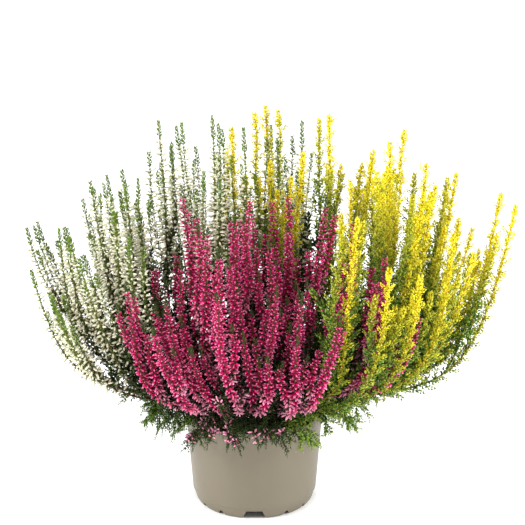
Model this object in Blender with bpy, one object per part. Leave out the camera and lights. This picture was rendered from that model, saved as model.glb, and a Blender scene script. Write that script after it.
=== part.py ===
"""Potted heather: a white, a pink and a yellow-leaved plant in one round nursery pot.

Metres, +Z up. The pot stands on z = 0, and the front of the bush is -Y.
Every leafy shoot follows one family of curves that rise from the soil, arch over the pot's rim
and turn upward. A shoot's place in the family is its label, a point of the unit disc: (0, 0) is
the middle of the bush and a label of length 1 is the outermost layer.
"""
import math
import random

import bmesh
import bpy
import numpy as np
from mathutils import Matrix, Vector

# Pot
RIM_RADIUS = 0.060
POT_HEIGHT = 0.0835
LIP_HEIGHT = 0.0044
LIP_STEP = 0.0015
WALL = 0.0014
STEP_HEIGHT = 0.0106
STEP_RADIUS = 0.0532
STEP_DEPTH = 0.0006
FOOT_RADIUS = 0.048
FOOT_LAND = 0.002
FOOT_CURVE = ((0.0034, 0.0070), (0.0020, 0.0022))  # out from the foot's radius, up
FOOT_INNER_RADIUS = 0.0510
FOOT_INNER_HEIGHT = 0.0055
EDGE = 0.0006
FLOOR_TOP = 0.0100
FLOOR_THICKNESS = 0.0014
POT_SEGMENTS = 32
SHARP_ANGLE = math.radians(30)
WIDE_NOTCHES = 4
WIDE_NOTCH_BASE = 0.0206
WIDE_NOTCH_TOP = 0.0135
WIDE_NOTCH_HEIGHT = 0.0080
SMALL_NOTCH_WIDTH = 0.0046
SMALL_NOTCH_HEIGHT = 0.003
SMALL_NOTCH_ANGLES = (33.0, 56.0)
NOTCH_REACH = 0.010
DRAIN_HOLES = 4
DRAIN_CORNERS = 6
DRAIN_RADIUS = 0.0045
DRAIN_RING = 0.030
THROUGH = 0.002  # how far a cutter passes beyond what it cuts
WELD = 1e-6

# Soil and the holes that the stems stand in
GAP = 0.0003
SOIL_TOP = 0.0715
HOLE_DEPTH = 0.012
STEM_RADIUS = 0.0015
SIDES = 4

# Bush: the curves' control points, from the soil to the tips
BASE_RADIUS = 0.038
CURVE_START = SOIL_TOP + 0.002
OVER_RIM_SHARE = 0.90
OVER_RIM_SHARE_DROP = 0.42
OVER_RIM_HEIGHT = 0.1545
OVER_RIM_DROP = 0.028
ARCH_SHARE = 0.98
ARCH_SHARE_DROP = 0.13
ARCH_HEIGHT = 0.2145
ARCH_DROP = 0.142
ARCH_TILT = 0.014
SPREAD_X = 0.215
LEAN_X = 0.006
SPREAD_Y = 0.145
LEAN_Y = 0.022
CROWN_HEIGHT = 0.3685
CROWN_DROP = 0.128
CROWN_RISE_RIGHT = 0.018
CROWN_RISE_BACK = 0.004

# Where the plants stand, in labels: pink inside an ellipse in front, yellow right, white the rest
PINK_MIDDLE = (0.02, -0.60)
PINK_SIZE = (0.50, 0.55)
YELLOW_FROM = 0.17
STRAY_YELLOW = 19
STRAY_WHITE = 1

# Sprays and shoots
SPRAYS = 38
SHOOTS = (2, 3)
FRONT_CROWDING = 0.25
LABEL_SPACING = 0.150
STEM_SPACING = 0.205
SETTLING_STEPS = 120
SETTLING_SHARE = 0.25
BRANCH_SPREAD = 0.08
BRANCH_START = (0.24, 0.32)
BRANCH_LENGTH = 0.24
BRANCH_BEND = 0.75
SWAY = 0.0040
SWAY_START = 0.15
SWAY_GROWTH = 0.4
SWAY_WAVES = (1.2, 1.0)
CURVE_POINTS = 60
BASAL_START = 0.18
BASAL_DEPTH = 0.80
BASAL_TURN = 0.12
BASAL_OUT = 0.014
BASAL_BEND = 0.004
BASAL_RADII = (0.082, 0.092)
BASAL_HEIGHTS = (0.075, 0.092)
BASAL_POINTS = 16
SEED = 273

# How far a shoot grows along its curve: in the middle, more at the edge, and by chance
GROWN = {"white": (0.85, 0.07, 0.12), "pink": (0.67, 0.16, 0.18), "yellow": (0.84, 0.08, 0.13)}


def linear(red, green, blue):
    """A colour given in 0-255 display values, as Blender's linear colour."""
    shares = [value / 255 for value in (red, green, blue)]
    return [s / 12.92 if s <= 0.04045 else ((s + 0.055) / 1.055) ** 2.4 for s in shares] + [1.0]


def make_material(name, colour, roughness):
    material = bpy.data.materials.new(name)
    material.use_nodes = True
    shader = material.node_tree.nodes["Principled BSDF"]
    shader.inputs["Base Color"].default_value = colour
    shader.inputs["Roughness"].default_value = roughness
    shader.inputs["Metallic"].default_value = 0.0
    material.diffuse_color = colour
    return material


def add_object(name, shape, *materials):
    """Turn a bmesh into a named object and free the bmesh."""
    bmesh.ops.recalc_face_normals(shape, faces=shape.faces)
    mesh = bpy.data.meshes.new(name)
    shape.to_mesh(mesh)
    shape.free()
    for material in materials:
        mesh.materials.append(material)
    thing = bpy.data.objects.new(name, mesh)
    bpy.context.scene.collection.objects.link(thing)
    return thing


def turned(outline, segments):
    """Spin an outline of (radius, height) points that starts and ends on the Z axis."""
    shape = bmesh.new()
    verts = [shape.verts.new((radius, 0, height)) for radius, height in outline]
    edges = [shape.edges.new(pair) for pair in zip(verts, verts[1:])]
    bmesh.ops.spin(
        shape, geom=verts + edges, axis=(0, 0, 1), angle=math.tau, steps=segments, use_merge=True
    )
    bmesh.ops.remove_doubles(shape, verts=shape.verts, dist=WELD)
    return shape


def skin(shape, near, far):
    """Close the space between two rings of points: sides and both end faces."""
    near = [shape.verts.new(point) for point in near]
    far = [shape.verts.new(point) for point in far]
    for i in range(len(near)):
        j = (i + 1) % len(near)
        shape.faces.new((near[i], near[j], far[j], far[i]))
    shape.faces.new(near)
    shape.faces.new(far)


def cut(thing, cutter):
    """Cut one object with another, which stays as a wire guide."""
    cutter.hide_render = True
    cutter.display_type = "WIRE"
    boolean = thing.modifiers.new("cut", "BOOLEAN")
    boolean.operation = "DIFFERENCE"
    boolean.object = cutter


def wall_radius(height):
    """The inner radius of the pot's wall."""
    slope = (RIM_RADIUS - LIP_STEP - STEP_RADIUS) / (POT_HEIGHT - LIP_HEIGHT - STEP_HEIGHT)
    return STEP_RADIUS - WALL + slope * (height - STEP_HEIGHT)


def notch(shape, azimuth, base_width, top_width, height):
    """A radial block with sloping sides, through the foot ring."""
    slope = (base_width - top_width) / 2 / height
    low = base_width / 2 + slope * THROUGH
    high = top_width / 2
    section = ((-low, -THROUGH), (low, -THROUGH), (high, height), (-high, height))
    turn = Matrix.Rotation(azimuth, 3, "Z")
    inner = FOOT_RADIUS - NOTCH_REACH
    outer = FOOT_RADIUS + NOTCH_REACH
    near = [turn @ Vector((x, -inner, z)) for x, z in section]
    far = [turn @ Vector((x, -outer, z)) for x, z in section]
    skin(shape, near, far)


def drain_hole(shape, x, y):
    corners = [math.tau * i / DRAIN_CORNERS for i in range(DRAIN_CORNERS)]
    ring = [(x + DRAIN_RADIUS * math.cos(a), y + DRAIN_RADIUS * math.sin(a)) for a in corners]
    low = FLOOR_TOP - FLOOR_THICKNESS - THROUGH
    high = FLOOR_TOP + THROUGH
    skin(shape, [(*point, low) for point in ring], [(*point, high) for point in ring])


def make_pot(plastic):
    """One moulded shell: lip, conical wall, raised floor with drain holes, notched foot ring."""
    under_lip = POT_HEIGHT - LIP_HEIGHT
    floor_low = FLOOR_TOP - FLOOR_THICKNESS
    outline = (
        (0, FLOOR_TOP),
        (wall_radius(FLOOR_TOP) - EDGE, FLOOR_TOP),
        (wall_radius(under_lip), under_lip),
        (RIM_RADIUS - WALL, POT_HEIGHT),
        (RIM_RADIUS - EDGE, POT_HEIGHT),
        (RIM_RADIUS, POT_HEIGHT - EDGE),
        (RIM_RADIUS, under_lip + EDGE),
        (RIM_RADIUS - LIP_STEP, under_lip),
        (STEP_RADIUS, STEP_HEIGHT),
        (STEP_RADIUS - STEP_DEPTH, STEP_HEIGHT - EDGE),
        *((FOOT_RADIUS + out, up) for out, up in FOOT_CURVE),
        (FOOT_RADIUS, 0),
        (FOOT_RADIUS - FOOT_LAND, 0),
        (FOOT_INNER_RADIUS - EDGE, FOOT_INNER_HEIGHT),
        (FOOT_INNER_RADIUS, floor_low),
        (0, floor_low),
    )
    pot = add_object("pot", turned(outline, POT_SEGMENTS), plastic)
    cutters = bmesh.new()
    for i in range(WIDE_NOTCHES):
        azimuth = math.tau * i / WIDE_NOTCHES
        notch(cutters, azimuth, WIDE_NOTCH_BASE, WIDE_NOTCH_TOP, WIDE_NOTCH_HEIGHT)
        for angle in SMALL_NOTCH_ANGLES:
            small = azimuth + math.radians(angle)
            notch(cutters, small, SMALL_NOTCH_WIDTH, SMALL_NOTCH_WIDTH, SMALL_NOTCH_HEIGHT)
    for i in range(DRAIN_HOLES):
        azimuth = math.tau * (i + 0.5) / DRAIN_HOLES
        drain_hole(cutters, DRAIN_RING * math.cos(azimuth), DRAIN_RING * math.sin(azimuth))
    cut(pot, add_object("pot_cutters", cutters))
    pot.data.shade_smooth()
    pot.data.set_sharp_from_angle(angle=SHARP_ANGLE)
    return pot


def make_soil(peat, stems):
    """The filling, with one square hole for each stem."""
    floor = FLOOR_TOP + GAP
    outline = (
        (0, floor),
        (wall_radius(floor) - EDGE - GAP, floor),
        (wall_radius(SOIL_TOP) - GAP, SOIL_TOP),
        (0, SOIL_TOP),
    )
    soil = add_object("soil", turned(outline, POT_SEGMENTS), peat)
    holes = bmesh.new()
    for stem in stems:
        x, y, _ = stem.curve[0]
        corner = STEM_RADIUS + GAP * math.sqrt(2)
        corners = [stem.turn + math.tau * i / SIDES for i in range(SIDES)]
        ring = [(x + corner * math.cos(a), y + corner * math.sin(a)) for a in corners]
        low = SOIL_TOP - HOLE_DEPTH
        skin(holes, [(*p, low) for p in ring], [(*p, SOIL_TOP + THROUGH) for p in ring])
    cut(soil, add_object("soil_holes", holes))
    return soil


def plant_of(spray, x, y):
    """Which plant a spray belongs to. One white and one yellow spray come up among the others."""
    from_middle = math.hypot((x - PINK_MIDDLE[0]) / PINK_SIZE[0], (y - PINK_MIDDLE[1]) / PINK_SIZE[1])
    if from_middle < 1 and spray != STRAY_WHITE:
        return "pink"
    return "yellow" if x > YELLOW_FROM or spray == STRAY_YELLOW else "white"


def settle(labels, spray_of):
    """Push labels apart until neighbours keep their spacing, mains a wider one."""
    first = np.array([i == 0 or spray_of[i] != spray_of[i - 1] for i in range(len(labels))])
    wanted = np.where(first[:, None] & first[None, :], STEM_SPACING, LABEL_SPACING)
    np.fill_diagonal(wanted, 0.0)
    for _ in range(SETTLING_STEPS):
        away = labels[:, None] - labels[None, :]
        distance = np.linalg.norm(away, axis=2) + 1e-9
        push = np.clip(wanted - distance, 0.0, None) / distance
        labels = labels + SETTLING_SHARE * (away * push[:, :, None]).sum(axis=1)
        labels /= np.maximum(1.0, np.linalg.norm(labels, axis=1))[:, None]
    return labels


def bezier(control, t):
    weights = ((1 - t) ** 3, 3 * t * (1 - t) ** 2, 3 * t * t * (1 - t), t**3)
    return sum(w[:, None] * np.asarray(point) for w, point in zip(weights, control))


def along(labels, t):
    """Points of the family's curves: labels is (n, 2), t is (n,), from 0 in the soil to 1."""
    x, y = labels.T
    depth = x * x + y * y
    end_x = SPREAD_X * x + LEAN_X * x * x
    end_y = SPREAD_Y * y + LEAN_Y * y * y
    over_rim = OVER_RIM_SHARE - OVER_RIM_SHARE_DROP * depth**2
    share = ARCH_SHARE - ARCH_SHARE_DROP * depth
    arch = ARCH_HEIGHT - ARCH_DROP * np.sqrt(depth) - ARCH_TILT * x
    fall = CROWN_DROP - CROWN_RISE_BACK * y - CROWN_RISE_RIGHT * x
    control = (
        (BASE_RADIUS * x, BASE_RADIUS * y, np.full_like(x, CURVE_START)),
        (over_rim * end_x, over_rim * end_y, OVER_RIM_HEIGHT - OVER_RIM_DROP * depth),
        (share * end_x, share * end_y, arch),
        (end_x, end_y, CROWN_HEIGHT - fall * depth),
    )
    return bezier([np.stack(point, axis=1) for point in control], t)


def sway(phases, t):
    """A slow sideways wander that starts above the rim."""
    grown = np.clip((t - SWAY_START) / SWAY_GROWTH, 0.0, 1.0)
    side = np.sin(math.tau * (SWAY_WAVES[0] * t + phases[0]))
    ahead = np.sin(math.tau * (SWAY_WAVES[1] * t + phases[1]))
    return SWAY * grown[:, None] * np.stack((side, ahead, 0 * t), axis=1)


def main_curve(label, phases, end):
    """From the bottom of the stem's hole to the shoot's tip."""
    t = np.linspace(0.0, end, CURVE_POINTS)
    curve = along(np.tile(label, (len(t), 1)), t) + sway(phases, t)
    foot = curve[0] - (0, 0, CURVE_START - SOIL_TOP + HOLE_DEPTH - GAP)
    return np.vstack((foot, curve))


def side_curve(main_label, main_phases, label, phases, start, end):
    """From a point of the main stem, over to the side shoot's own curve of the family."""
    t = np.linspace(start, end, CURVE_POINTS)
    parted = np.sin(np.clip((t - start) / BRANCH_LENGTH, 0, 1) * math.pi / 2)[:, None] ** BRANCH_BEND
    labels = main_label + (label - main_label) * parted
    return along(labels, t) + sway(main_phases, t) * (1 - parted) + sway(phases, t) * parted


def basal_curve(main_label, azimuth, radius, height):
    """A short sprig that leaves an outer stem over the rim and hangs down beside the pot."""
    start = along(main_label[None, :], np.array([BASAL_START]))[0]
    outward = np.array((math.cos(azimuth), math.sin(azimuth), 0.0))
    up = np.array((0.0, 0.0, 1.0))
    control = (
        start,
        start + BASAL_OUT * outward + BASAL_BEND * up,
        outward * (radius - BASAL_BEND) + up * start[2],
        outward * radius + up * height,
    )
    return bezier(control, np.linspace(0, 1, BASAL_POINTS))


class Shoot:
    """A leafy shoot: its plant, its kind (main, side or basal) and the curve it follows."""

    def __init__(self, plant, kind, curve, turn):
        self.plant = plant
        self.kind = kind
        self.curve = curve
        self.turn = turn
        steps = np.linalg.norm(np.diff(curve, axis=0), axis=1)
        self.arc = np.concatenate(((0.0,), np.cumsum(steps)))
        self.length = self.arc[-1]

    def point(self, s):
        """The point at a length s along the curve."""
        return np.array([np.interp(s, self.arc, self.curve[:, axis]) for axis in range(3)])


def grown_end(plant, label, draw):
    """How far along its curve a shoot has grown."""
    middle, more_at_edge, by_chance = GROWN[plant]
    return middle + more_at_edge * np.linalg.norm(label) + by_chance * draw


def lay_out():
    """Every spray as a list of shoots, the main one first."""
    rng = random.Random(SEED)
    golden = math.pi * (3 - math.sqrt(5))
    labels, spray_of, plants = [], [], []
    for i in range(SPRAYS):
        radius = math.sqrt((i + 0.5) / SPRAYS)
        x = radius * math.cos(i * golden)
        y = radius * math.sin(i * golden) - FRONT_CROWDING * (1 - radius**2)
        plants.append(plant_of(i, x, y))
        shoots = SHOOTS[1] if plants[i] == "pink" or i % 2 else SHOOTS[0]
        turn = rng.uniform(0, math.tau)
        for k in range(shoots):
            angle = turn + math.tau * k / shoots
            labels.append((x + BRANCH_SPREAD * math.cos(angle), y + BRANCH_SPREAD * math.sin(angle)))
            spray_of.append(i)
    labels = settle(np.array(labels), spray_of)
    sprays = []
    for i, plant in enumerate(plants):
        own = [label for label, spray in zip(labels, spray_of) if spray == i]
        phases = [(rng.random(), rng.random()) for _ in own]
        azimuth = math.atan2(own[0][1], own[0][0])
        end = grown_end(plant, own[0], rng.random())
        spray = [Shoot(plant, "main", main_curve(own[0], phases[0], end), azimuth)]
        for label, phase in zip(own[1:], phases[1:]):
            start = rng.uniform(*BRANCH_START)
            end = grown_end(plant, label, rng.random())
            curve = side_curve(own[0], phases[0], label, phase, start, end)
            spray.append(Shoot(plant, "side", curve, math.atan2(label[1], label[0])))
        if np.linalg.norm(own[0]) > BASAL_DEPTH:
            turned_to = azimuth + rng.uniform(-BASAL_TURN, BASAL_TURN)
            radius = rng.uniform(*BASAL_RADII)
            curve = basal_curve(own[0], turned_to, radius, rng.uniform(*BASAL_HEIGHTS))
            spray.append(Shoot(plant, "basal", curve, turned_to))
        sprays.append(spray)
    return sprays


# What stands out of a shoot's core: reach, lift along the stem and pitch between rings
CORE_RADIUS = 0.0015
BARE = (0.0, 0.0, 0.016)
LEAFY = (0.0028, 0.0040, 0.0190)
FLORETS = (0.0048, 0.0010, 0.0112)
SPRIGS = (0.0038, 0.0050, 0.0130)
GREEN_TIP = (0.0018, 0.0030, 0.0110)
LEAF, BLOOM = 0, 1
RAGGED = (0.85, 1.10)
LAST_RING = 1.6  # the last ring stands at least this many pitches before the tip
TANGENT_STEP = 0.001

# Where each plant's blooms begin and end, as shares of a shoot's length
BLOOM_SHARES = {"white": (0.42, 0.88), "pink": (0.28, 0.93), "yellow": (0.34, 0.90)}
SIDE_BLOOM_SHARE = 0.12
BARE_LENGTHS = {"main": 0.036, "side": 0.012, "basal": 0.008}


def zone(shoot, s):
    """What a shoot carries at a length s, and whether it is leaf or bloom."""
    if s < BARE_LENGTHS[shoot.kind]:
        return BARE, LEAF
    if shoot.kind == "basal":
        return LEAFY, LEAF
    share = s / shoot.length
    first, last = BLOOM_SHARES[shoot.plant]
    if shoot.kind == "side":
        first = SIDE_BLOOM_SHARE
    if share < first:
        return LEAFY, LEAF
    if share < last:
        return (SPRIGS if shoot.plant == "yellow" else FLORETS), BLOOM
    return GREEN_TIP, (BLOOM if shoot.plant == "yellow" else LEAF)


def stations(shoot):
    """Lengths along the shoot at which a ring of the skin stands."""
    places = [0.0]
    if shoot.kind == "main":
        places.append(shoot.arc[1])
    while True:
        pitch = zone(shoot, places[-1])[0][2]
        if places[-1] + LAST_RING * pitch > shoot.length:
            return places
        places.append(places[-1] + pitch)


def room_at(point, shoot, others):
    """Half the distance to the nearest shoot of another spray."""
    return np.linalg.norm(others - point, axis=1).min() / 2 - GAP


def skin_shoot(shoot, others, rng):
    """Loft a four-sided tube whose every second corner stands out as a floret or a leaf."""
    shape = bmesh.new()
    places = stations(shoot)
    rings = []
    kinds = []
    across = np.array((math.cos(shoot.turn), math.sin(shoot.turn), 0.0))
    for k, s in enumerate(places):
        centre = shoot.point(s)
        ahead = shoot.point(s + TANGENT_STEP) - shoot.point(max(s - TANGENT_STEP, 0.0))
        ahead /= np.linalg.norm(ahead)
        if k < 2 and shoot.kind == "main":
            ahead = np.array((0.0, 0.0, 1.0))
        across -= ahead * across.dot(ahead)
        across /= np.linalg.norm(across)
        side = np.cross(ahead, across)
        (reach, lift, _), kind = zone(shoot, s)
        core = STEM_RADIUS if shoot.kind == "main" and k < 2 else CORE_RADIUS
        room = room_at(centre, shoot, others)
        ring = []
        for j in range(SIDES):
            angle = math.tau * j / SIDES
            stands_out = reach * rng.uniform(*RAGGED) if (j + k) % 2 == 0 else 0.0
            radius = min(core + stands_out, max(core, room))
            outward = across * math.cos(angle) + side * math.sin(angle)
            rise = lift * (radius - core) / reach if reach else 0.0
            ring.append(shape.verts.new(centre + outward * radius + ahead * rise))
        rings.append(ring)
        kinds.append(kind)
    for k in range(len(rings) - 1):
        low, high = rings[k], rings[k + 1]
        for j in range(SIDES):
            i = (j + 1) % SIDES
            if (j + k) % 2 == 0:
                corners = ((low[j], low[i], high[j]), (low[i], high[i], high[j]))
            else:
                corners = ((low[j], low[i], high[i]), (low[j], high[i], high[j]))
            for corner in corners:
                shape.faces.new(corner).material_index = kinds[k]
    tip = shape.verts.new(shoot.point(shoot.length))
    for j in range(SIDES):
        shape.faces.new((rings[-1][j], rings[-1][(j + 1) % SIDES], tip)).material_index = kinds[-1]
    shape.faces.new(reversed(rings[0]))
    return shape


def fuse(main, sides):
    """Join side shoots to their main stem in one closed body."""
    group = bpy.data.collections.new("side_shoots")
    for side in sides:
        bpy.context.scene.collection.objects.unlink(side)
        group.objects.link(side)
    bpy.context.scene.collection.children.link(group)
    boolean = main.modifiers.new("join", "BOOLEAN")
    boolean.operation = "UNION"
    boolean.operand_type = "COLLECTION"
    boolean.collection = group
    boolean.solver = "MANIFOLD"
    bpy.context.view_layer.update()
    joined = main.evaluated_get(bpy.context.evaluated_depsgraph_get())
    mesh = bpy.data.meshes.new_from_object(joined)
    main.modifiers.clear()
    main.data = mesh
    for side in sides:
        bpy.data.objects.remove(side)
    bpy.data.collections.remove(group)


def make_spray(name, spray, others, materials, rng):
    main = add_object(name, skin_shoot(spray[0], others, rng), *materials)
    sides = [add_object("side", skin_shoot(side, others, rng), *materials) for side in spray[1:]]
    fuse(main, sides)
    return main


def centre_on_origin(things):
    """Move every mesh so that the whole object's box is centred on the Z axis."""
    bpy.context.view_layer.update()
    corners = np.array([corner[:] for thing in things for corner in thing.bound_box])
    middle = (corners.min(axis=0) + corners.max(axis=0)) / 2
    for thing in bpy.context.scene.objects:
        thing.data.transform(Matrix.Translation((-middle[0], -middle[1], 0)))


def main():
    for thing in list(bpy.context.scene.objects):
        bpy.data.objects.remove(thing)
    plastic = make_material("pot_plastic", linear(150, 141, 122), 0.55)
    peat = make_material("peat_soil", linear(58, 42, 32), 0.95)
    leaf = make_material("green_leaf", linear(66, 98, 42), 0.65)
    blooms = {
        "white": make_material("white_buds", linear(238, 235, 216), 0.6),
        "pink": make_material("pink_buds", linear(206, 38, 108), 0.6),
        "yellow": make_material("yellow_leaf", linear(226, 198, 28), 0.6),
    }
    sprays = lay_out()
    rng = random.Random(SEED)
    things = [make_pot(plastic), make_soil(peat, [spray[0] for spray in sprays])]
    counts = dict.fromkeys(blooms, 0)
    for spray in sprays:
        plant = spray[0].plant
        counts[plant] += 1
        name = f"heather_{plant}_{counts[plant]:02d}"
        others = np.vstack([s.curve for other in sprays if other is not spray for s in other])
        things.append(make_spray(name, spray, others, (leaf, blooms[plant]), rng))
    centre_on_origin(things)


main()
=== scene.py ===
"""Potted heather: a white, a pink and a yellow-leaved plant grown together in one nursery pot."""
import math
import random
from collections import namedtuple

import bmesh
import bpy
import numpy as np
from mathutils import Matrix, Vector, noise


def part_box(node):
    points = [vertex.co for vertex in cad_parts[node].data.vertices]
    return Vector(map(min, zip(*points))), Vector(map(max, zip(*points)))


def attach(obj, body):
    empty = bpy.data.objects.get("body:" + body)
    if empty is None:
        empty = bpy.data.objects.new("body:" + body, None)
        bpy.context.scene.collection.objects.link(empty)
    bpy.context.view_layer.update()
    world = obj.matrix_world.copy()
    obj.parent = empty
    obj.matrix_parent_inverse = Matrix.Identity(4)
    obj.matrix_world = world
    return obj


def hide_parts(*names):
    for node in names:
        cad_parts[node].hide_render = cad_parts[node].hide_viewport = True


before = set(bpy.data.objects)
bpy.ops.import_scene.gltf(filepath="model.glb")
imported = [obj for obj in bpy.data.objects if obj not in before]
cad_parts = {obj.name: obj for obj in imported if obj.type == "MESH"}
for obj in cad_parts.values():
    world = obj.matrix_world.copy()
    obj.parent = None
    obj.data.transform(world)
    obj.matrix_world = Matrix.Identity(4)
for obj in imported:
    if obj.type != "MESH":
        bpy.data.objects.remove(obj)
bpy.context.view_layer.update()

# The pot
# A round nursery pot of taupe polypropylene, injection moulded in one thin shell with a lip, a
# raised floor and a foot ring. The notches in the ring let water run off under the pot.
POT_MIDDLE = (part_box("pot")[0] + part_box("pot")[1]) / 2
POT_PLACE = Vector((POT_MIDDLE.x, POT_MIDDLE.y, 0))
RIM_RADIUS = 0.060
POT_HEIGHT = 0.0835
LIP_HEIGHT = 0.0044
LIP_STEP = 0.0015
WALL = 0.0014
STEP_HEIGHT = 0.0106
STEP_RADIUS = 0.0532
STEP_DEPTH = 0.0010
FOOT_RADIUS = 0.048
FOOT_LAND = 0.002  # the width that the foot ring stands on
FOOT_CURVE = ((0.0036, 0.0075), (0.0032, 0.0050), (0.0022, 0.0022), (0.0011, 0.0006))  # out, up
FOOT_INNER_RADIUS = 0.0510
FOOT_INNER_HEIGHT = 0.0055
FLOOR_TOP = 0.0100
FLOOR_THICKNESS = 0.0014
EDGE = 0.0006
POT_STEPS = 144
MERGE_DISTANCE = 1e-6
SHARP_ANGLE = math.radians(35)
EDGE_ROUNDING = 0.00025
WIDE_NOTCHES = 4
WIDE_NOTCH = (0.0206, 0.0135, 0.0080)  # width at the foot, width at the top, height
SMALL_NOTCH = (0.0056, 0.0046)  # width, height
SMALL_NOTCH_ANGLES = (33.0, 56.0)  # degrees from a wide notch to the two small ones after it
SMALL_NOTCH_POINTS = 11
NOTCH_REACH = 0.010  # how far the notch tools reach inward and outward from the foot's radius
DRAIN_HOLES = 4
DRAIN_RADIUS = 0.0045
DRAIN_RING = 0.030
DRAIN_STEPS = 24
THROUGH = 0.002  # how far the cutting tools run past the plastic
DUST_HEIGHT = 0.016


def linear(red, green, blue):
    """A colour given in 0-255 display values, as Blender's linear colour."""
    shares = [value / 255 for value in (red, green, blue)]
    return [s / 12.92 if s <= 0.04045 else ((s + 0.055) / 1.055) ** 2.4 for s in shares] + [1.0]


def add_node(tree, kind, sockets=None, **settings):
    """Add a shader node; each socket, by its name or number, gets a value or a link."""
    node = tree.nodes.new("ShaderNode" + kind)
    for name, value in settings.items():
        setattr(node, name, value)
    for name, value in (sockets or {}).items():
        if isinstance(value, bpy.types.NodeSocket):
            tree.links.new(value, node.inputs[name])
        else:
            node.inputs[name].default_value = value
    return node


def start_group(name, inputs, outputs):
    """Begin a node group; returns its tree, its inputs and its output node."""
    group = bpy.data.node_groups.new(name, "ShaderNodeTree")
    for socket, value in inputs.items():
        kind = "NodeSocketFloat" if isinstance(value, float) else "NodeSocketColor"
        group.interface.new_socket(socket, in_out="INPUT", socket_type=kind).default_value = value
    for socket, kind in outputs.items():
        group.interface.new_socket(socket, in_out="OUTPUT", socket_type="NodeSocket" + kind)
    return group, group.nodes.new("NodeGroupInput").outputs, group.nodes.new("NodeGroupOutput")


def ranged(tree, value, low, high, to_low=0.0, to_high=1.0):
    """A value's range, mapped to another and clamped."""
    sockets = {"Value": value, "From Min": low, "From Max": high, "To Min": to_low, "To Max": to_high}
    return add_node(tree, "MapRange", sockets).outputs["Result"]


def mixed(tree, share, first, second, blend="MIX"):
    """A share of the second colour over the first."""
    sockets = {0: share, 6: first, 7: second}
    return add_node(tree, "Mix", sockets, data_type="RGBA", blend_type=blend).outputs[2]


def worked_out(tree, operation, *values):
    """The result of a Math node."""
    return add_node(tree, "Math", dict(enumerate(values)), operation=operation).outputs["Value"]


def add_noise(tree, where, scale, detail, roughness=0.5):
    """Noise from 0 to 1 at a place."""
    sockets = {"Vector": where, "Scale": scale, "Detail": detail, "Roughness": roughness}
    return add_node(tree, "TexNoise", sockets).outputs["Fac"]


def make_mottle():
    """Two colours in soft patches, with fine grain over them."""
    group, given, result = start_group(
        "mottle",
        {
            "Low": linear(90, 90, 90), "High": linear(120, 120, 120),
            "Patch Scale": 40.0, "Grain Scale": 900.0, "Grain": 0.1,
        },
        {"Color": "Color", "Mask": "Float", "Relief": "Float"},
    )
    where = add_node(group, "TexCoord").outputs["Object"]
    patches = add_noise(group, where, given["Patch Scale"], 4.0, 0.55)
    grain = add_noise(group, where, given["Grain Scale"], 2.0, 0.6)
    mask = ranged(group, patches, 0.35, 0.65)
    colour = mixed(group, mask, given["Low"], given["High"])
    grey = ranged(group, grain, 0.3, 0.7, 0.55, 1.45)
    speckled = mixed(group, given["Grain"], colour, grey, "MULTIPLY")
    group.links.new(speckled, result.inputs["Color"])
    group.links.new(mask, result.inputs["Mask"])
    group.links.new(grain, result.inputs["Relief"])
    return group


mottle = make_mottle()


def start_material(name, roughness):
    """Begin a material; returns it, its tree and its shader."""
    material = bpy.data.materials.new(name)
    material.use_nodes = True
    shader = material.node_tree.nodes["Principled BSDF"]
    shader.inputs["Roughness"].default_value = roughness
    return material, material.node_tree, shader


def add_relief(tree, shader, height, strength, distance):
    """Fine bumps in a surface."""
    bump = add_node(tree, "Bump", {"Height": height, "Strength": strength, "Distance": distance})
    tree.links.new(bump.outputs["Normal"], shader.inputs["Normal"])


def make_pot_plastic():
    """Taupe plastic with the mould's fine texture, and a little dust and peat dirt near the foot."""
    material, tree, shader = start_material("pot_plastic", 0.42)
    shader.inputs["Specular IOR Level"].default_value = 0.45
    colours = {
        "Low": linear(112, 103, 85), "High": linear(116, 107, 89),
        "Patch Scale": 14.0, "Grain Scale": 1500.0, "Grain": 0.10,
    }
    moulded = add_node(tree, "Group", colours, node_tree=mottle)
    where = add_node(tree, "TexCoord").outputs["Object"]
    height = add_node(tree, "SeparateXYZ", {"Vector": where}).outputs["Z"]
    low = ranged(tree, height, DUST_HEIGHT, 0.0, 0.0, 0.5)
    dust = worked_out(tree, "MULTIPLY", low, moulded.outputs["Mask"])
    dusty = mixed(tree, dust, moulded.outputs["Color"], linear(105, 96, 82))
    rough = ranged(tree, moulded.outputs["Mask"], 0.0, 1.0, 0.38, 0.5)
    tree.links.new(dusty, shader.inputs["Base Color"])
    tree.links.new(rough, shader.inputs["Roughness"])
    add_relief(tree, shader, moulded.outputs["Relief"], 0.12, 0.0001)
    return material


def add_piece(name, mesh, *materials):
    """Put a mesh in the scene as an object, with its materials."""
    for material in materials:
        mesh.materials.append(material)
    piece = bpy.data.objects.new(name, mesh)
    bpy.context.scene.collection.objects.link(piece)
    return piece


def mesh_of(shape, name):
    """Turn a bmesh into a mesh with its faces turned outward."""
    bmesh.ops.recalc_face_normals(shape, faces=shape.faces)
    mesh = bpy.data.meshes.new(name)
    shape.to_mesh(mesh)
    shape.free()
    return mesh


def apply_modifiers(piece):
    """Replace a piece's mesh by what its modifiers make of it."""
    bpy.context.view_layer.update()
    final = bpy.data.meshes.new_from_object(piece.evaluated_get(bpy.context.evaluated_depsgraph_get()))
    piece.modifiers.clear()
    piece.data = final


def turned(outline, steps):
    """Spin an outline of (radius, height) points that starts and ends on the Z axis."""
    shape = bmesh.new()
    verts = [shape.verts.new((radius, 0, height)) for radius, height in outline]
    edges = [shape.edges.new(pair) for pair in zip(verts, verts[1:])]
    bmesh.ops.spin(
        shape, geom=verts + edges, axis=(0, 0, 1), angle=math.tau, steps=steps, use_merge=True
    )
    bmesh.ops.remove_doubles(shape, verts=shape.verts, dist=MERGE_DISTANCE)
    return shape


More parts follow.
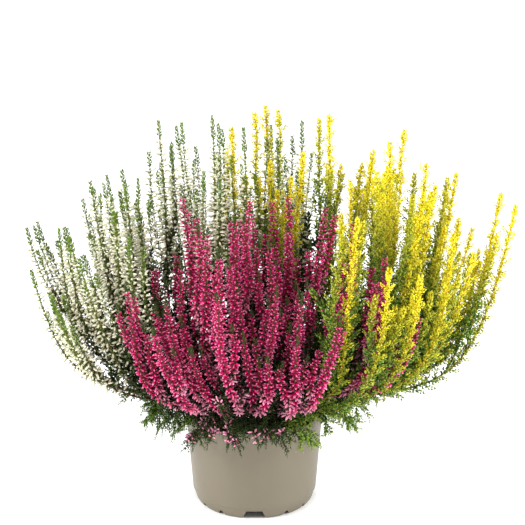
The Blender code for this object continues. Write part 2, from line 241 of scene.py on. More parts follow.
def add_block(shape, near, far):
    """A closed block between two like rings of points."""
    first = [shape.verts.new(point) for point in near]
    last = [shape.verts.new(point) for point in far]
    for i in range(len(near)):
        j = (i + 1) % len(near)
        shape.faces.new((first[i], first[j], last[j], last[i]))
    shape.faces.new(first)
    shape.faces.new(last)


def pot_wall_radius(height):
    """The inner radius of the pot's wall."""
    slope = (RIM_RADIUS - LIP_STEP - STEP_RADIUS) / (POT_HEIGHT - LIP_HEIGHT - STEP_HEIGHT)
    return STEP_RADIUS - WALL + slope * (height - STEP_HEIGHT)


def make_pot_mesh():
    """The shell, turned from its outline: floor, inner wall, lip, outer wall, step, foot and underside."""
    under_lip = POT_HEIGHT - LIP_HEIGHT
    outline = (
        (0, FLOOR_TOP),
        (pot_wall_radius(FLOOR_TOP) - EDGE, FLOOR_TOP),
        (pot_wall_radius(under_lip), under_lip),
        (RIM_RADIUS - WALL, POT_HEIGHT - EDGE),
        (RIM_RADIUS - WALL + EDGE / 3, POT_HEIGHT),
        (RIM_RADIUS - EDGE, POT_HEIGHT),
        (RIM_RADIUS - EDGE / 4, POT_HEIGHT - EDGE / 4),
        (RIM_RADIUS, POT_HEIGHT - EDGE),
        (RIM_RADIUS, under_lip + EDGE),
        (RIM_RADIUS - LIP_STEP, under_lip),
        (STEP_RADIUS, STEP_HEIGHT),
        (STEP_RADIUS - STEP_DEPTH, STEP_HEIGHT - EDGE),
        *((FOOT_RADIUS + out, up) for out, up in FOOT_CURVE),
        (FOOT_RADIUS, 0),
        (FOOT_RADIUS - FOOT_LAND, 0),
        (FOOT_INNER_RADIUS - EDGE, FOOT_INNER_HEIGHT),
        (FOOT_INNER_RADIUS, FLOOR_TOP - FLOOR_THICKNESS),
        (0, FLOOR_TOP - FLOOR_THICKNESS),
    )
    return mesh_of(turned(outline, POT_STEPS), "pot_shell")


def wide_notch_section():
    """A notch with slanted sides, as (across, up) points."""
    at_foot, at_top, height = WIDE_NOTCH
    below = at_foot / 2 + (at_foot - at_top) / 2 / height * THROUGH
    return [(-below, -THROUGH), (below, -THROUGH), (at_top / 2, height), (-at_top / 2, height)]


def small_notch_section():
    """An arched notch, as (across, up) points."""
    width, height = SMALL_NOTCH
    angles = np.linspace(0, math.pi, SMALL_NOTCH_POINTS)
    arch = [(width / 2 * math.cos(a), height * math.sin(a)) for a in angles]
    return [(-width / 2, -THROUGH), (width / 2, -THROUGH), *arch]


def make_pot_cutters():
    """The tools that notch the foot ring and pierce the floor."""
    shape = bmesh.new()
    for i in range(WIDE_NOTCHES):
        sections = [(0.0, wide_notch_section())]
        sections += [(angle, small_notch_section()) for angle in SMALL_NOTCH_ANGLES]
        for angle, section in sections:
            turn = Matrix.Rotation(math.tau * i / WIDE_NOTCHES + math.radians(angle), 3, "Z")
            add_block(
                shape,
                [turn @ Vector((x, NOTCH_REACH - FOOT_RADIUS, z)) for x, z in section],
                [turn @ Vector((x, -NOTCH_REACH - FOOT_RADIUS, z)) for x, z in section],
            )
    for i in range(DRAIN_HOLES):
        azimuth = math.tau * (i + 0.5) / DRAIN_HOLES
        around = [math.tau * k / DRAIN_STEPS for k in range(DRAIN_STEPS)]
        ring = [(DRAIN_RADIUS * math.cos(a), DRAIN_RADIUS * math.sin(a)) for a in around]
        place = Vector((DRAIN_RING * math.cos(azimuth), DRAIN_RING * math.sin(azimuth), FLOOR_TOP))
        add_block(
            shape,
            [place + Vector((x, y, THROUGH)) for x, y in ring],
            [place + Vector((x, y, -THROUGH - FLOOR_THICKNESS)) for x, y in ring],
        )
    return mesh_of(shape, "pot_cutters")


def make_pot():
    """The shell with its notches and holes cut and its edges rounded."""
    pot = add_piece("pot_moulded", make_pot_mesh(), make_pot_plastic())
    cutters = add_piece("pot_cutters", make_pot_cutters())
    cut = pot.modifiers.new("notches", "BOOLEAN")
    cut.operation = "DIFFERENCE"
    cut.object = cutters
    rounding = pot.modifiers.new("rounding", "BEVEL")
    rounding.width = EDGE_ROUNDING
    rounding.segments = 2
    rounding.angle_limit = SHARP_ANGLE
    apply_modifiers(pot)
    bpy.data.objects.remove(cutters)
    pot.data.shade_smooth()
    pot.data.set_sharp_from_angle(angle=SHARP_ANGLE)
    pot.data.transform(Matrix.Translation(POT_PLACE))
    return pot


pot = make_pot()
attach(pot, "root")
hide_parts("pot")

# The soil
# Peat potting soil, dark brown with paler crumbs. It fills the pot to about 12 mm under the rim,
# and the stems stand in it.
SOIL_TOP = 0.0715
SOIL_GAP = 0.0003
SOIL_RINGS = 44
SOIL_STEPS = 132
CLOD_HEIGHT = 0.0016
CRUMB_HEIGHT = 0.0007
CLOD_SCALE = 90.0
CRUMB_SCALE = 420.0
FLAT_EDGE = 0.25  # the share of the radius over which clods and crumbs die out towards the wall


def make_peat():
    """Dull dark brown, with paler and darker crumbs."""
    material, tree, shader = start_material("peat_soil", 0.95)
    shader.inputs["Specular IOR Level"].default_value = 0.2
    colours = {
        "Low": linear(34, 24, 18), "High": linear(72, 52, 38),
        "Patch Scale": 260.0, "Grain Scale": 1400.0, "Grain": 0.6,
    }
    crumbs = add_node(tree, "Group", colours, node_tree=mottle)
    tree.links.new(crumbs.outputs["Color"], shader.inputs["Base Color"])
    add_relief(tree, shader, crumbs.outputs["Relief"], 0.8, 0.0008)
    return material


def make_soil_mesh():
    """A disc with a crumbly top, on a plain plug that fills the pot."""
    radius = pot_wall_radius(SOIL_TOP) - SOIL_GAP
    foot_radius = pot_wall_radius(FLOOR_TOP) - EDGE - SOIL_GAP
    shape = bmesh.new()
    middle = shape.verts.new((0, 0, SOIL_TOP))
    rings = []
    for k in range(1, SOIL_RINGS + 1):
        share = k / SOIL_RINGS
        ring = []
        for i in range(SOIL_STEPS):
            azimuth = math.tau * i / SOIL_STEPS
            flat = Vector((math.cos(azimuth), math.sin(azimuth), 0)) * radius * share
            clod = CLOD_HEIGHT * noise.noise(flat * CLOD_SCALE)
            crumb = CRUMB_HEIGHT * noise.noise(flat * CRUMB_SCALE)
            flat.z = SOIL_TOP + (clod + crumb) * min(1.0, (1 - share) / FLAT_EDGE)
            ring.append(shape.verts.new(flat))
        rings.append(ring)
    foot = [shape.verts.new(Vector((v.co.x, v.co.y, 0)) * foot_radius / radius) for v in rings[-1]]
    for vert in foot:
        vert.co.z = FLOOR_TOP + SOIL_GAP
    rings.append(foot)
    for i in range(SOIL_STEPS):
        j = (i + 1) % SOIL_STEPS
        shape.faces.new((middle, rings[0][i], rings[0][j]))
        for low, high in zip(rings, rings[1:]):
            shape.faces.new((low[i], high[i], high[j], low[j]))
    shape.faces.new(foot)
    return mesh_of(shape, "soil_crumbs")


soil = add_piece("soil_crumbs", make_soil_mesh(), make_peat())
soil.data.transform(Matrix.Translation(POT_PLACE))
soil.data.shade_smooth()
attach(soil, "root")
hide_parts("soil")

# The white heather
# Woody stems that rise from the soil, arch over the rim and turn upward. Low down they carry
# short leafy sprigs, above them rings of closed creamy buds on short stalks, and a green leafy tip.
# The stems of all three plants follow the same family of curves as the solid model's.
HOLE_DEPTH = 0.012
BASE_RADIUS = 0.038  # of the disc in the soil that the stems rise from
CURVE_START = SOIL_TOP + 0.002
OVER_RIM_SHARE = 0.90  # the curves' second point, as a share of the reach and a height
OVER_RIM_SHARE_DROP = 0.42
OVER_RIM_HEIGHT = 0.1545
OVER_RIM_DROP = 0.028
ARCH_SHARE = 0.98  # their third point
ARCH_SHARE_DROP = 0.13
ARCH_HEIGHT = 0.2145
ARCH_DROP = 0.142
ARCH_TILT = 0.014
SPREAD_X = 0.215  # their end in the crown
LEAN_X = 0.006
SPREAD_Y = 0.145
LEAN_Y = 0.022
CROWN_HEIGHT = 0.3685
CROWN_DROP = 0.128
CROWN_RISE_RIGHT = 0.018
CROWN_RISE_BACK = 0.004
PINK_MIDDLE = (0.02, -0.60)  # an ellipse of labels, which are places in a disc of radius 1
PINK_SIZE = (0.50, 0.55)
YELLOW_FROM = 0.17
STRAY_YELLOW = 19  # a spray's number
STRAY_WHITE = 1
SPRAYS = 38
SHOOTS = (2, 3)  # in one spray
FRONT_CROWDING = 0.25  # how far the middle labels move to the front
GOLDEN_ANGLE = math.pi * (3 - math.sqrt(5))
LABEL_SPACING = 0.150
STEM_SPACING = 0.205
SETTLING_STEPS = 120
SETTLING_SHARE = 0.25
LEAST_DISTANCE = 1e-9
BRANCH_SPREAD = 0.08
BRANCH_START = (0.24, 0.32)  # shares of the curve, as the next length is
BRANCH_LENGTH = 0.24
BRANCH_BEND = 0.75
SWAY = 0.0040
SWAY_START = 0.15
SWAY_GROWTH = 0.4
SWAY_WAVES = (1.2, 1.0)
CURVE_POINTS = 60
BASAL_START = 0.18
BASAL_DEPTH = 0.80  # how near the edge a spray stands that has a basal sprig
BASAL_TURN = 0.12
BASAL_OUT = 0.014
BASAL_BEND = 0.004
BASAL_RADII = (0.082, 0.092)
BASAL_HEIGHTS = (0.075, 0.092)
BASAL_POINTS = 16
SEED = 273
GROWN = {  # how far shoots grow along their curves: in the middle, more at the edge, by chance
    "white": (0.85, 0.07, 0.12),
    "pink": (0.67, 0.16, 0.18),
    "yellow": (0.84, 0.08, 0.13),
}


def plant_of(spray, x, y):
    """Which plant a spray belongs to. One white and one yellow spray come up among the others."""
    from_middle = math.hypot((x - PINK_MIDDLE[0]) / PINK_SIZE[0], (y - PINK_MIDDLE[1]) / PINK_SIZE[1])
    if from_middle < 1 and spray != STRAY_WHITE:
        return "pink"
    return "yellow" if x > YELLOW_FROM or spray == STRAY_YELLOW else "white"


def settle(labels, spray_of):
    """Push labels apart until neighbours keep their spacing, which is wider between main stems."""
    first = np.array([i == 0 or spray_of[i] != spray_of[i - 1] for i in range(len(labels))])
    wanted = np.where(first[:, None] & first[None, :], STEM_SPACING, LABEL_SPACING)
    np.fill_diagonal(wanted, 0.0)
    for _ in range(SETTLING_STEPS):
        away = labels[:, None] - labels[None, :]
        distance = np.linalg.norm(away, axis=2) + LEAST_DISTANCE
        push = np.clip(wanted - distance, 0.0, None) / distance
        labels = labels + SETTLING_SHARE * (away * push[:, :, None]).sum(axis=1)
        labels /= np.maximum(1.0, np.linalg.norm(labels, axis=1))[:, None]
    return labels


def cubic_curve(control, t):
    """Points at shares t of a smooth curve that four control points pull on."""
    weights = ((1 - t) ** 3, 3 * t * (1 - t) ** 2, 3 * t * t * (1 - t), t**3)
    return sum(w[:, None] * np.asarray(point) for w, point in zip(weights, control))


def along(labels, t):
    """Points of the family's curves: labels is (n, 2), t is (n,), from 0 in the soil to 1."""
    x, y = labels.T
    depth = x * x + y * y
    end_x = SPREAD_X * x + LEAN_X * x * x
    end_y = SPREAD_Y * y + LEAN_Y * y * y
    over_rim = OVER_RIM_SHARE - OVER_RIM_SHARE_DROP * depth**2
    share = ARCH_SHARE - ARCH_SHARE_DROP * depth
    arch = ARCH_HEIGHT - ARCH_DROP * np.sqrt(depth) - ARCH_TILT * x
    fall = CROWN_DROP - CROWN_RISE_BACK * y - CROWN_RISE_RIGHT * x
    control = (
        (BASE_RADIUS * x, BASE_RADIUS * y, np.full_like(x, CURVE_START)),
        (over_rim * end_x, over_rim * end_y, OVER_RIM_HEIGHT - OVER_RIM_DROP * depth),
        (share * end_x, share * end_y, arch),
        (end_x, end_y, CROWN_HEIGHT - fall * depth),
    )
    return cubic_curve([np.stack(point, axis=1) for point in control], t)


def sway(phases, t):
    """A slow sideways wander that starts above the rim."""
    grown = np.clip((t - SWAY_START) / SWAY_GROWTH, 0.0, 1.0)
    side = np.sin(math.tau * (SWAY_WAVES[0] * t + phases[0]))
    ahead = np.sin(math.tau * (SWAY_WAVES[1] * t + phases[1]))
    return SWAY * grown[:, None] * np.stack((side, ahead, 0 * t), axis=1)


def main_curve(label, phases, end):
    """From the bottom of the stem's hole to the shoot's tip."""
    t = np.linspace(0.0, end, CURVE_POINTS)
    curve = along(np.tile(label, (len(t), 1)), t) + sway(phases, t)
    foot = curve[0] - (0, 0, CURVE_START - SOIL_TOP + HOLE_DEPTH - SOIL_GAP)
    return np.vstack((foot, curve))


def side_curve(main_label, main_phases, label, phases, start, end):
    """From a point of the main stem, over to the side shoot's own curve of the family."""
    t = np.linspace(start, end, CURVE_POINTS)
    parted = np.sin(np.clip((t - start) / BRANCH_LENGTH, 0, 1) * math.pi / 2)[:, None] ** BRANCH_BEND
    labels = main_label + (label - main_label) * parted
    return along(labels, t) + sway(main_phases, t) * (1 - parted) + sway(phases, t) * parted


def basal_curve(main_label, azimuth, radius, height):
    """A short sprig that leaves an outer stem over the rim and hangs down beside the pot."""
    start = along(main_label[None, :], np.array([BASAL_START]))[0]
    outward = np.array((math.cos(azimuth), math.sin(azimuth), 0.0))
    up = np.array((0.0, 0.0, 1.0))
    control = (
        start,
        start + BASAL_OUT * outward + BASAL_BEND * up,
        outward * (radius - BASAL_BEND) + up * start[2],
        outward * radius + up * height,
    )
    return cubic_curve(control, np.linspace(0, 1, BASAL_POINTS))


def unit(vectors):
    """The directions of vectors, one in each row."""
    return vectors / np.linalg.norm(vectors, axis=1)[:, None]


class Shoot:
    """A shoot: its plant, its kind (a key of STEMS), the curve that it follows and the way it faces."""

    def __init__(self, plant, kind, curve, turn):
        self.plant = plant
        self.kind = kind
        self.curve = curve
        self.turn = turn
        steps = np.linalg.norm(np.diff(curve, axis=0), axis=1)
        self.arc = np.concatenate(((0.0,), np.cumsum(steps)))
        self.length = self.arc[-1]
        self.ahead = unit(np.gradient(curve, axis=0))

    def at(self, lengths):
        """Places at lengths along the shoot, and their frames, whose rows are X, Y and Z = ahead."""
        places = np.stack([np.interp(lengths, self.arc, self.curve[:, i]) for i in range(3)], axis=1)
        ahead = unit(np.stack([np.interp(lengths, self.arc, self.ahead[:, i]) for i in range(3)], axis=1))
        level = np.array((-math.sin(self.turn), math.cos(self.turn), 0.0))
        across = unit(level - ahead * (ahead @ level)[:, None])
        return places, np.stack((across, np.cross(ahead, across), ahead), axis=1)


def grown_end(plant, label, draw):
    """How far along its curve a shoot has grown."""
    middle, more_at_edge, by_chance = GROWN[plant]
    return middle + more_at_edge * np.linalg.norm(label) + by_chance * draw


def lay_out():
    """Every spray as a list of shoots, the main one first."""
    rng = random.Random(SEED)
    labels, spray_of, plants = [], [], []
    for i in range(SPRAYS):
        radius = math.sqrt((i + 0.5) / SPRAYS)
        x = radius * math.cos(i * GOLDEN_ANGLE)
        y = radius * math.sin(i * GOLDEN_ANGLE) - FRONT_CROWDING * (1 - radius**2)
        plants.append(plant_of(i, x, y))
        shoots = SHOOTS[1] if plants[i] == "pink" or i % 2 else SHOOTS[0]
        turn = rng.uniform(0, math.tau)
        for k in range(shoots):
            angle = turn + math.tau * k / shoots
            labels.append((x + BRANCH_SPREAD * math.cos(angle), y + BRANCH_SPREAD * math.sin(angle)))
            spray_of.append(i)
    labels = settle(np.array(labels), spray_of)
    sprays = []
    for i, plant in enumerate(plants):
        own = [label for label, spray in zip(labels, spray_of) if spray == i]
        phases = [(rng.random(), rng.random()) for _ in own]
        azimuth = math.atan2(own[0][1], own[0][0])
        end = grown_end(plant, own[0], rng.random())
        spray = [Shoot(plant, "main", main_curve(own[0], phases[0], end), azimuth)]
        for label, phase in zip(own[1:], phases[1:]):
            start = rng.uniform(*BRANCH_START)
            end = grown_end(plant, label, rng.random())
            curve = side_curve(own[0], phases[0], label, phase, start, end)
            spray.append(Shoot(plant, "side", curve, math.atan2(label[1], label[0])))
        if np.linalg.norm(own[0]) > BASAL_DEPTH:
            turned_to = azimuth + rng.uniform(-BASAL_TURN, BASAL_TURN)
            radius = rng.uniform(*BASAL_RADII)
            curve = basal_curve(own[0], turned_to, radius, rng.uniform(*BASAL_HEIGHTS))
            spray.append(Shoot(plant, "basal", curve, turned_to))
        sprays.append(spray)
    return sprays


STEM, LEAF, BUD = 0, 1, 2  # material slots of every spray
LEAF_BREADTH_AT = 0.42  # share of a leaf's length where it is widest
PAIR_TURN = 1.17  # from one pair of leaves to the next
CLOSING = 0.6  # how much less the last leaves lean
LEAF_TURNS = (-0.25, 0.25)  # what varies by chance is a range, here and below
LEAF_LEANS = (0.8, 1.2)
LEAF_SIZES = (0.85, 1.15)
SPRIG_VARIANTS = 4
SPRIG_POINTS = 9
SPRIG_BARE = 0.6  # steps from a sprig's foot to its first leaves
SPRIG_AGE_RANGE = 0.34  # from a sprig's foot to its tip
SPRIG_AGE_MIDDLE = 0.6
SPRIG_LENGTHS = (0.8, 1.15)
SPRIG_BENDS = (-0.1, 0.1)
SPRIG_LEANS = (0.75, 1.2)
SPRIG_SIZES = (0.8, 1.2)
BUD_SIDES = 4
BUD_PROFILE = ((0.30, 1.0), (0.72, 0.78))  # height and radius, as shares of the bud's
BUD_SHIFTS = (-0.35, 0.35)
BUD_TURNS = (-0.3, 0.3)
BUD_LEANS = (-0.18, 0.18)
BUD_SIZES = (0.82, 1.12)
BRACT_AT = 0.3  # share of the bud's stalk
BRACT_LEAN = 0.45
BRACT_SIZE = 0.8
PARTING_LENGTH = 0.045  # over which a companion leaves its shoot
WAVE = 0.0014
WAVE_LENGTH = 0.085
COMPANION_POINTS = 30
TWIG_POINTS = 12

Stem = namedtuple("Stem", "radii rings bare")  # radii of foot and tip; bare is the leafless length
STEMS = {
    "main": Stem((0.0014, 0.0003), 34, 0.022),
    "side": Stem((0.0009, 0.0003), 26, 0.004),
    "basal": Stem((0.0008, 0.0003), 10, 0.004),
    "fine": Stem((0.0006, 0.0002), 14, 0.004),
    "twig": Stem((0.0005, 0.0002), 5, 0.001),
    "sprig": Stem((0.0004, 0.00016), 2, 0.0),
}
Leafing = namedtuple("Leafing", "pitch lean sizes")  # how leaves or sprigs stand along a shoot
Budding = namedtuple("Budding", "pitch ring sizes leans")  # how buds stand; ring is how many in each
Twigs = namedtuple("Twigs", "count starts lengths rises")  # a rise below 0 lets a twig hang


class Shape:
    """Closed solids as arrays: points, triangles and their slots. Each point also has its way
    along its own leaf or bud, the age of its place (0 at the foot, 1 at a tip) and a random share."""

    def __init__(self, points, triangles, slots, way, age=None, chance=None):
        self.points = np.asarray(points, float)
        self.triangles = np.asarray(triangles)
        self.slots = np.broadcast_to(slots, len(self.triangles))
        self.way = np.asarray(way, float)
        self.age = np.zeros(len(self.points)) if age is None else age
        self.chance = np.zeros(len(self.points)) if chance is None else chance


def joined(shapes):
    """Many shapes as one."""
    starts = np.cumsum([0] + [len(shape.points) for shape in shapes[:-1]])
    return Shape(
        np.vstack([shape.points for shape in shapes]),
        np.vstack([shape.triangles + start for shape, start in zip(shapes, starts)]),
        np.concatenate([shape.slots for shape in shapes]),
        np.concatenate([shape.way for shape in shapes]),
        np.concatenate([shape.age for shape in shapes]),
        np.concatenate([shape.chance for shape in shapes]),
    )


def planted(shape, places, frames, sizes, ages, chances):
    """One copy of a shape at each place. A copy's own axes are the rows of its frame."""
    count = len(places)
    own = len(shape.points)
    points = np.einsum("pk,nkj->npj", shape.points, frames * sizes[:, None, None]) + places[:, None]
    triangles = shape.triangles[None] + own * np.arange(count)[:, None, None]
    return Shape(
        points.reshape(-1, 3),
        triangles.reshape(-1, 3),
        np.tile(shape.slots, count),
        np.tile(shape.way, count),
        np.repeat(ages, own) + np.tile(shape.age, count),
        (np.tile(shape.chance, count) + np.repeat(chances, own)) % 1.0,
    )


def between(ends, share):
    """The value at a share of the way from the first end to the second."""
    return ends[0] + (ends[1] - ends[0]) * share


def leaning(frames, around, lean):
    """Frames that stand out of a stem: turned around it, and leaning away from its direction."""
    across, side, ahead = frames[:, 0], frames[:, 1], frames[:, 2]
    out = across * np.cos(around)[:, None] + side * np.sin(around)[:, None]
    forward = ahead * np.cos(lean)[:, None] + out * np.sin(lean)[:, None]
    outward = out * np.cos(lean)[:, None] - ahead * np.sin(lean)[:, None]
    return np.stack((outward, np.cross(forward, outward), forward), axis=1)


def make_leaf(length, width, keel):
    """A pointed scale leaf along Z, hollow on its inner side. Its outer side faces X."""
    breadth_at = LEAF_BREADTH_AT * length
    points = ((0, 0, 0), (keel, -width / 2, breadth_at), (keel, width / 2, breadth_at), (0, 0, length))
    triangles = ((0, 2, 1), (1, 2, 3), (0, 1, 3), (0, 3, 2))
    return Shape(points, triangles, LEAF, [point[2] / length for point in points])


def make_stem(shoot, sides, slot=STEM):
    """A closed tapering tube along a shoot."""
    stem = STEMS[shoot.kind]
    places, frames = shoot.at(np.linspace(0, shoot.length, stem.rings))
    way = np.linspace(0, 1, stem.rings)
    radius = between(stem.radii, way)
    around = np.arange(sides) * math.tau / sides
    across, side = frames[:, None, 0], frames[:, None, 1]
    out = across * np.cos(around)[None, :, None] + side * np.sin(around)[None, :, None]
    skin = (places[:, None] + out * radius[:, None, None]).reshape(-1, 3)
    points = np.vstack((skin, places[:1], places[-1:]))
    foot, tip = len(skin), len(skin) + 1
    last = (stem.rings - 1) * sides
    triangles = []
    for k in range(sides):
        j = (k + 1) % sides
        triangles += [(foot, j, k), (tip, last + k, last + j)]
        for r in range(0, last, sides):
            triangles += [(r + k, r + j, r + sides + j), (r + k, r + sides + j, r + sides + k)]
    way = np.concatenate((np.repeat(way, sides), (0, 1)))
    return Shape(points, triangles, slot, way, way)


def make_bud(length, radius, stalk, bract):
    """A closed bud along Z, fullest near its foot, on a short stalk with a green bract."""
    points = [(0, 0, stalk)]
    for height, share in BUD_PROFILE:
        out = radius * share
        for k in range(BUD_SIDES):
            a = math.tau * k / BUD_SIDES + height
            points.append((out * math.cos(a), out * math.sin(a), stalk + length * height))
    points.append((0, 0, stalk + length))
    tip = len(points) - 1
    triangles = []
    for k in range(BUD_SIDES):
        low, high = 1 + k, 1 + (k + 1) % BUD_SIDES
        above_low, above_high = low + BUD_SIDES, high + BUD_SIDES
        triangles += [(0, high, low), (low, high, above_high), (low, above_high, above_low)]
        triangles.append((tip, above_low, above_high))
    way = [(point[2] - stalk) / length for point in points]
    bud = Shape(points, triangles, BUD, way)
    foot = np.array([[0.0, 0.0, BRACT_AT * stalk]])
    frames = leaning(np.eye(3)[None], np.array([math.pi / 2]), np.array([BRACT_LEAN]))
    return joined((bud, planted(bract, foot, frames, np.array([BRACT_SIZE]), np.zeros(1), np.zeros(1))))


def leaves_along(shoot, leaf, start, end, leafing, rng):
    """Pairs of leaves along part of a shoot, each turned from the pair below and the last ones upright."""
    count = max(1, int((end - start) / leafing.pitch))
    lengths = np.repeat(start + leafing.pitch * np.arange(count), 2)
    around = np.arange(2 * count) * math.pi + np.repeat(np.arange(count) * PAIR_TURN, 2)
    around = around + rng.uniform(*LEAF_TURNS, 2 * count)
    places, frames = shoot.at(lengths)
    share = (lengths - start) / (end - start)
    lean = leafing.lean * (1 - CLOSING * share**2) * rng.uniform(*LEAF_LEANS, 2 * count)
    size = between(leafing.sizes, share) * rng.uniform(*LEAF_SIZES, 2 * count)
    frames = leaning(frames, around, lean)
    return planted(leaf, places, frames, size, lengths / shoot.length, rng.random(2 * count))


def make_sprigs(length, curl, leaf, leafing, seed):
    """Variants of one leafy sprig along Z, which curls towards the stem's tip, away from X."""
    rng = np.random.default_rng(seed)
    t = np.linspace(0, 1, SPRIG_POINTS)
    sprigs = []
    for _ in range(SPRIG_VARIANTS):
        own = length * rng.uniform(*SPRIG_LENGTHS)
        bend = rng.uniform(*SPRIG_BENDS)
        curve = own * np.stack((-curl * t**2, bend * t**2, t), axis=1)
        twig = Shoot("", "sprig", curve, math.pi / 2)
        leaves = leaves_along(twig, leaf, leafing.pitch * SPRIG_BARE, twig.length, leafing, rng)
        sprig = joined((make_stem(twig, 3, LEAF), leaves))
        sprig.age = SPRIG_AGE_RANGE * (sprig.age - SPRIG_AGE_MIDDLE)
        sprigs.append(sprig)
    return sprigs


def sprigs_along(shoot, sprigs, start, end, leafing, rng):
    """Sprigs around part of a shoot, one at each pitch."""
    count = max(0, int((end - start) / leafing.pitch))
    if not count:
        return []
    lengths = start + leafing.pitch * (np.arange(count) + rng.uniform(0, 1, count))
    around = np.arange(count) * GOLDEN_ANGLE + rng.uniform(0, math.tau)
    kinds = rng.integers(0, len(sprigs), count)
    lean = leafing.lean * rng.uniform(*SPRIG_LEANS, count)
    share = (lengths - start) / (end - start)
    size = between(leafing.sizes, share) * rng.uniform(*SPRIG_SIZES, count)
    chances = rng.random(count)
    grown = []
    for kind, sprig in enumerate(sprigs):
        some = kinds == kind
        if some.any():
            places, frames = shoot.at(lengths[some])
            frames = leaning(frames, around[some], lean[some])
            ages = lengths[some] / shoot.length
            grown.append(planted(sprig, places, frames, size[some], ages, chances[some]))
    return grown


def buds_along(shoot, bud, start, end, budding, rng):
    """Rings of buds: full and hanging low down, smaller and upright near the tip."""
    pitch, ring, sizes, leans = budding
    count = max(1, int((end - start) / pitch))
    lengths = np.repeat(start + pitch * np.arange(count), ring)
    lengths = lengths + rng.uniform(*BUD_SHIFTS, count * ring) * pitch
    around = np.repeat(np.arange(count) * math.pi / ring + rng.uniform(0, math.tau), ring)
    around = around + np.tile(np.arange(ring) * math.tau / ring, count)
    around = around + rng.uniform(*BUD_TURNS, count * ring)
    share = np.clip((lengths - start) / (end - start), 0, 1)
    size = between(sizes, share**2) * rng.uniform(*BUD_SIZES, count * ring)
    lean = between(leans, share**2) + rng.uniform(*BUD_LEANS, count * ring)
    places, frames = shoot.at(np.clip(lengths, 0, shoot.length))
    return planted(bud, places, leaning(frames, around, lean), size, share, rng.random(count * ring))


def companion(shoot, start, end, around, distance, phase):
    """A thinner, wavy shoot out of another, which runs on beside it."""
    lengths = np.linspace(start, end, COMPANION_POINTS)
    places, frames = shoot.at(lengths)
    out = frames[:, 0] * math.cos(around) + frames[:, 1] * math.sin(around)
    parted = np.sin(np.clip((lengths - start) / PARTING_LENGTH, 0, 1) * math.pi / 2)
    wave = WAVE * np.sin(math.tau * (lengths / WAVE_LENGTH + phase)) * parted
    curve = places + distance * parted[:, None] * out + wave[:, None] * frames[:, 0]
    return Shoot(shoot.plant, "fine", curve, shoot.turn)


def branchlet(shoot, length, start, lean, around, rise):
    """A thin twig out of a shoot, which bends up (rise above 0) or hangs (below 0)."""
    places, frames = shoot.at(np.array([start]))
    out = leaning(frames, np.array([around]), np.array([lean]))[0][2]
    t = np.linspace(0, 1, TWIG_POINTS)[:, None]
    curve = places[0] + length * (t * out + rise * t**2 * np.array((0, 0, 1.0)))
    return Shoot(shoot.plant, "twig", curve, math.atan2(out[1], out[0]))


def make_grown_colour():
    """A living surface: old colour to young colour with age, a paler end, chance and fine mottle."""
    group, given, result = start_group(
        "grown_colour",
        {
            "Old": linear(60, 80, 40), "Young": linear(90, 120, 60), "End": linear(120, 150, 80),
            "Turn From": 0.0, "Turn To": 1.0, "End From": 0.35, "End Share": 0.3,
            "Chance": 0.3, "Mottle": 0.15,
        },
        {"Color": "Color", "Relief": "Float"},
    )
    age, way, chance = (
        add_node(group, "Attribute", attribute_name=name).outputs["Fac"]
        for name in ("age", "way", "chance")
    )
    turned_young = ranged(group, age, given["Turn From"], given["Turn To"])
    aged = mixed(group, turned_young, given["Old"], given["Young"])
    near_end = ranged(group, way, given["End From"], 1.0)
    end = worked_out(group, "MULTIPLY", near_end, given["End Share"])
    ended = mixed(group, end, aged, given["End"])
    centred = ranged(group, chance, 0.0, 1.0, -1.0, 1.0)
    swing = worked_out(group, "MULTIPLY_ADD", centred, given["Chance"], 1.0)
    grain = add_noise(group, add_node(group, "TexCoord").outputs["Object"], 900.0, 2.0)
    mottled = ranged(group, grain, 0.3, 0.7, -1.0, 1.0)
    patchy = worked_out(group, "MULTIPLY_ADD", mottled, given["Mottle"], 1.0)
    value = worked_out(group, "MULTIPLY", swing, patchy)
    varied = add_node(group, "HueSaturation", {"Value": value, "Color": ended})
    group.links.new(varied.outputs["Color"], result.inputs["Color"])
    group.links.new(grain, result.inputs["Relief"])
    return group


grown_colour = make_grown_colour()


def grown_material(name, roughness, **colours):
    """A plant's matte skin, with its colours by age, by the way along each leaf or bud and by chance."""
    material, tree, shader = start_material(name, roughness)
    shader.inputs["Specular IOR Level"].default_value = 0.2
    given = {key.replace("_", " ").title(): value for key, value in colours.items()}
    for key in ("Old", "Young", "End"):
        given[key] = linear(*given[key])
    colour = add_node(tree, "Group", given, node_tree=grown_colour)
    tree.links.new(colour.outputs["Color"], shader.inputs["Base Color"])
    add_relief(tree, shader, colour.outputs["Relief"], 0.3, 0.0002)
    return material


def mesh_from(shape, name):
    """A mesh of the arrays, with age, way and chance as point attributes."""
    mesh = bpy.data.meshes.new(name)
    count = len(shape.triangles)
    mesh.vertices.add(len(shape.points))
    mesh.vertices.foreach_set("co", shape.points.astype(np.float32).ravel())
    mesh.loops.add(3 * count)
    mesh.loops.foreach_set("vertex_index", shape.triangles.astype(np.int32).ravel())
    mesh.polygons.add(count)
    mesh.polygons.foreach_set("loop_start", np.arange(0, 3 * count, 3, dtype=np.int32))
    mesh.polygons.foreach_set("material_index", shape.slots.astype(np.int32))
    for attribute, values in (("age", shape.age), ("way", shape.way), ("chance", shape.chance)):
        layer = mesh.attributes.new(attribute, "FLOAT", "POINT")
        layer.data.foreach_set("value", np.clip(values, 0, 1).astype(np.float32))
    mesh.update(calc_edges=True)
    return mesh


class Habit:
    """How one plant grows: its shapes, materials and measures."""

    def __init__(self, **measures):
        self.__dict__.update(measures)


